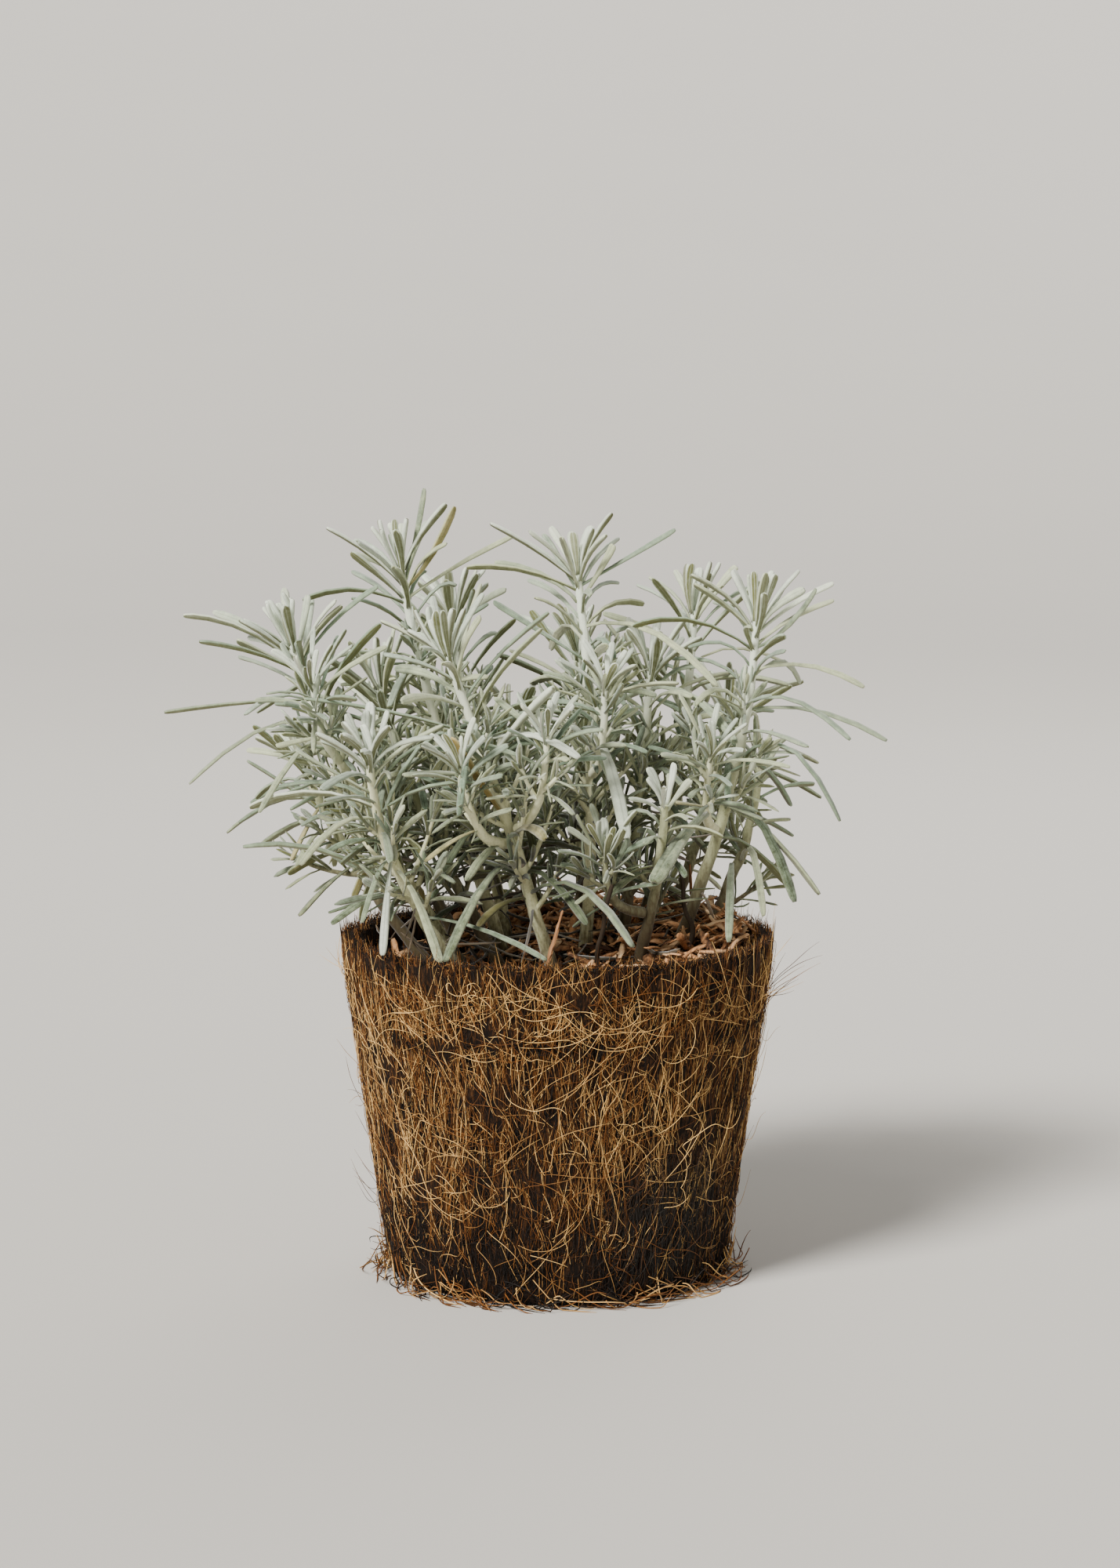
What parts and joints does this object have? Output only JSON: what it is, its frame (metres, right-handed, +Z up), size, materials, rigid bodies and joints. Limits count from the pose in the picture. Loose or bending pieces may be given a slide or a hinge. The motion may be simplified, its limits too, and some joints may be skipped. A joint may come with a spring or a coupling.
{
  "type": "potted curry plant",
  "caption": "Curry plant with narrow felted silver-green leaves on upright stems, growing in a tapered coir-fibre pot of compost topped with bark mulch.",
  "frame": {"origin": "middle of the flat underside of the pot, on the surface that it stands on", "axes": "+Z up the stems, +X to the right as seen from the front, +Y away from the front"},
  "size_m": [0.211, 0.17, 0.234],
  "materials": {
    "coir": "coarse matted coconut fibre, golden brown over dark gaps, matt",
    "compost": "damp, dark, crumbly, matt",
    "bark": "reddish-brown shredded bark, matt with dry broken edges",
    "roots": "fine golden-brown rootlets, matt",
    "dead_wood": "dry brown twig, matt",
    "stem": "pale yellow-green, felted, woody brown towards the foot",
    "leaf": "silver-green, covered in fine white felt, matt with a soft sheen"
  },
  "bodies": {
    "root": {"bark_mulch": "bark", "coir_pot": "coir", "compost": "compost", "dead_twig_front": "dead_wood", "dead_twig_left": "dead_wood", "dead_twig_right": "dead_wood", "leaves_back": "leaf", "leaves_back_left": "leaf", "leaves_back_right": "leaf", "leaves_centre": "leaf", "leaves_centre_left": "leaf", "leaves_centre_right": "leaf", "leaves_front": "leaf", "leaves_front_right": "leaf", "leaves_left": "leaf", "leaves_low_left": "leaf", "leaves_mid_left": "leaf", "leaves_mid_right": "leaf", "leaves_rear": "leaf", "leaves_rear_left": "leaf", "leaves_rear_right": "leaf", "leaves_right": "leaf", "leaves_side_centre": "leaf", "leaves_side_front_centre": "leaf", "leaves_side_front_left": "leaf", "leaves_side_left": "leaf", "leaves_side_low_front": "leaf", "leaves_side_right": "leaf", "leaves_top_left": "leaf", "root_fringe": "roots", "stem_back": "stem", "stem_back_left": "stem", "stem_back_right": "stem", "stem_centre": "stem", "stem_centre_left": "stem", "stem_centre_right": "stem", "stem_front": "stem", "stem_front_right": "stem", "stem_left": "stem", "stem_low_left": "stem", "stem_mid_left": "stem", "stem_mid_right": "stem", "stem_rear": "stem", "stem_rear_left": "stem", "stem_rear_right": "stem", "stem_right": "stem", "stem_side_centre": "stem", "stem_side_front_centre": "stem", "stem_side_front_left": "stem", "stem_side_left": "stem", "stem_side_low_front": "stem", "stem_side_right": "stem", "stem_top_left": "stem", "wood_splinter_back": "bark", "wood_splinter_front": "bark", "wood_splinter_side": "bark"}
  },
  "joints": []
}
